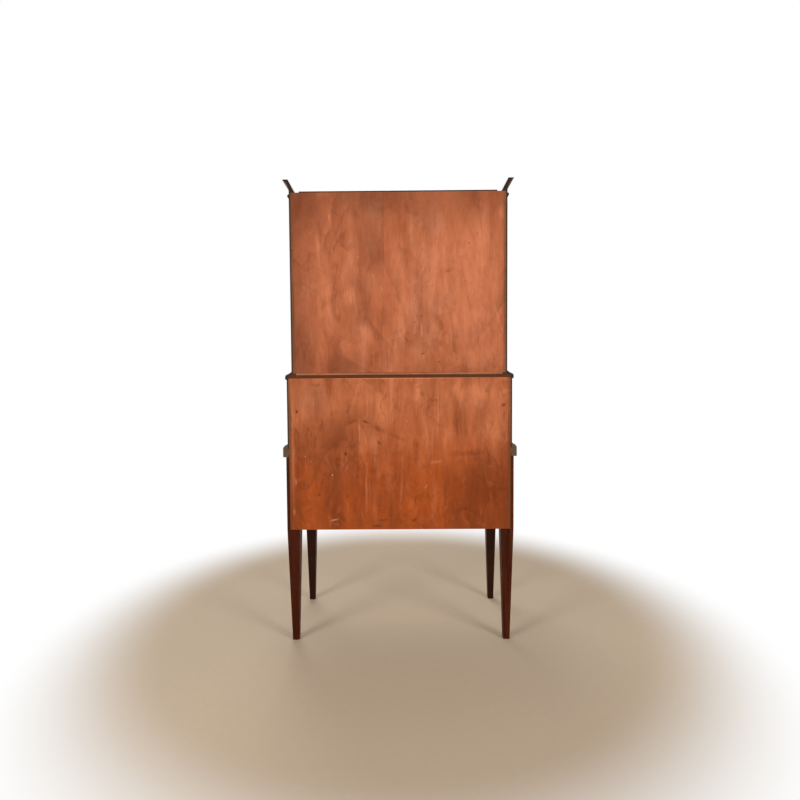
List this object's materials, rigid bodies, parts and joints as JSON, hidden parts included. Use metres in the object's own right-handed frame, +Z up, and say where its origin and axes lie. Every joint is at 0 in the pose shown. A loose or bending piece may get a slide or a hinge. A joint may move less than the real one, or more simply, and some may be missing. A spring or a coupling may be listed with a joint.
{
  "type": "escritoire",
  "caption": "Tall wooden escritoire on tapered legs: fold-out writing flap on lopers, drawers with bail pulls, pigeonhole stage and glazed bookcase under a cove cornice.",
  "frame": {"origin": "on the floor, under the middle of the whole piece's outline", "axes": "+Z up, -Y towards the sitter at the front, +Y towards the wall behind, +X to the sitter's right"},
  "size_m": [0.915, 0.457, 1.808],
  "materials": {
    "mahogany": "dark stained, satin",
    "figured_veneer": "polished veneer",
    "back_panel": "stained plywood, dull",
    "secondary_wood": "bare, planed",
    "gallery_wood": "satin",
    "leather": "tooled, worn",
    "brass": "aged",
    "glass": "clear sheet",
    "steel_pins": "dulled"
  },
  "bodies": {
    "root": {"base_floor": "secondary_wood", "base_rails": "mahogany", "base_side_left": "mahogany", "base_side_right": "mahogany", "bookcase_floor": "mahogany", "bookcase_frieze": "mahogany", "bookcase_shelves": "mahogany", "bookcase_side_left": "mahogany", "bookcase_side_right": "mahogany", "bookcase_top": "mahogany", "cornice": "mahogany", "desk_board": "mahogany", "desk_leather": "leather", "door_hinge_plates": "brass", "drawer_runners": "secondary_wood", "dust_board": "secondary_wood", "flap_hinge_plates": "brass", "front_leg_left": "mahogany", "front_leg_right": "mahogany", "gallery_dividers": "gallery_wood", "gallery_valances": "gallery_wood", "lower_back_panel": "back_panel", "panel_pins": "steel_pins", "rear_leg_left": "mahogany", "rear_leg_right": "mahogany", "shelf_pins": "brass", "stage_bed": "mahogany", "stage_foot_mouldings": "mahogany", "stage_side_left": "mahogany", "stage_side_right": "mahogany", "upper_back_panel": "back_panel", "waist_board": "mahogany", "waist_moulding": "mahogany"},
    "door_left": {"door_left_frame": "mahogany", "door_left_glass": "glass", "door_left_brass": "brass"},
    "loper_left": {"loper_left": "mahogany"},
    "door_right": {"door_right_frame": "mahogany", "door_right_glass": "glass", "door_right_brass": "brass"},
    "loper_right": {"loper_right": "mahogany"},
    "upper_drawer": {"upper_drawer_front": "figured_veneer", "upper_drawer_box": "secondary_wood", "upper_drawer_pulls": "brass"},
    "upper_bail_left": {"upper_bail_left": "brass"},
    "upper_bail_right": {"upper_bail_right": "brass"},
    "lower_drawer": {"lower_drawer_front": "figured_veneer", "lower_drawer_box": "secondary_wood", "lower_drawer_pulls": "brass"},
    "lower_bail_left": {"lower_bail_left": "brass"},
    "lower_bail_right": {"lower_bail_right": "brass"},
    "small_drawer_left": {"small_drawer_left": "gallery_wood", "small_knob_left": "brass"},
    "small_drawer_centre": {"small_drawer_centre": "gallery_wood", "small_knob_centre": "brass"},
    "small_drawer_right": {"small_drawer_right": "gallery_wood", "small_knob_right": "brass"},
    "flap": {"writing_flap": "mahogany", "flap_leather": "leather", "flap_hinge_straps": "brass"}
  },
  "joints": [
    {"name": "flap_fold", "type": "hinge", "parent": "root", "child": "flap", "pos_m": [0, -0.22, 0.75425], "axis": [1, 0, 0], "range_deg": [0, 180]},
    {"name": "loper_left_slide", "type": "slide", "parent": "root", "child": "loper_left", "axis": [0, -1, 0], "range_m": [0, 0.19]},
    {"name": "loper_right_slide", "type": "slide", "parent": "root", "child": "loper_right", "axis": [0, -1, 0], "range_m": [0, 0.19]},
    {"name": "upper_drawer_slide", "type": "slide", "parent": "root", "child": "upper_drawer", "axis": [0, -1, 0], "range_m": [0, 0.3]},
    {"name": "lower_drawer_slide", "type": "slide", "parent": "root", "child": "lower_drawer", "axis": [0, -1, 0], "range_m": [0, 0.3]},
    {"name": "small_drawer_left_slide", "type": "slide", "parent": "root", "child": "small_drawer_left", "axis": [0, -1, 0], "range_m": [0, 0.14]},
    {"name": "small_drawer_centre_slide", "type": "slide", "parent": "root", "child": "small_drawer_centre", "axis": [0, -1, 0], "range_m": [0, 0.14]},
    {"name": "small_drawer_right_slide", "type": "slide", "parent": "root", "child": "small_drawer_right", "axis": [0, -1, 0], "range_m": [0, 0.14]},
    {"name": "door_left_swing", "type": "hinge", "parent": "root", "child": "door_left", "pos_m": [-0.4009, 0.0068, 1.4], "axis": [0, 0, -1], "range_deg": [0, 110]},
    {"name": "door_right_swing", "type": "hinge", "parent": "root", "child": "door_right", "pos_m": [0.4009, 0.0068, 1.4], "axis": [0, 0, 1], "range_deg": [0, 110]},
    {"name": "upper_bail_left_swing", "type": "hinge", "parent": "upper_drawer", "child": "upper_bail_left", "pos_m": [-0.205, -0.2225, 0.687], "axis": [-1, 0, 0], "range_deg": [0, 85]},
    {"name": "upper_bail_right_swing", "type": "hinge", "parent": "upper_drawer", "child": "upper_bail_right", "pos_m": [0.205, -0.2225, 0.687], "axis": [-1, 0, 0], "range_deg": [0, 85]},
    {"name": "lower_bail_left_swing", "type": "hinge", "parent": "lower_drawer", "child": "lower_bail_left", "pos_m": [-0.232, -0.2225, 0.545], "axis": [-1, 0, 0], "range_deg": [0, 85]},
    {"name": "lower_bail_right_swing", "type": "hinge", "parent": "lower_drawer", "child": "lower_bail_right", "pos_m": [0.232, -0.2225, 0.545], "axis": [-1, 0, 0], "range_deg": [0, 85]}
  ]
}
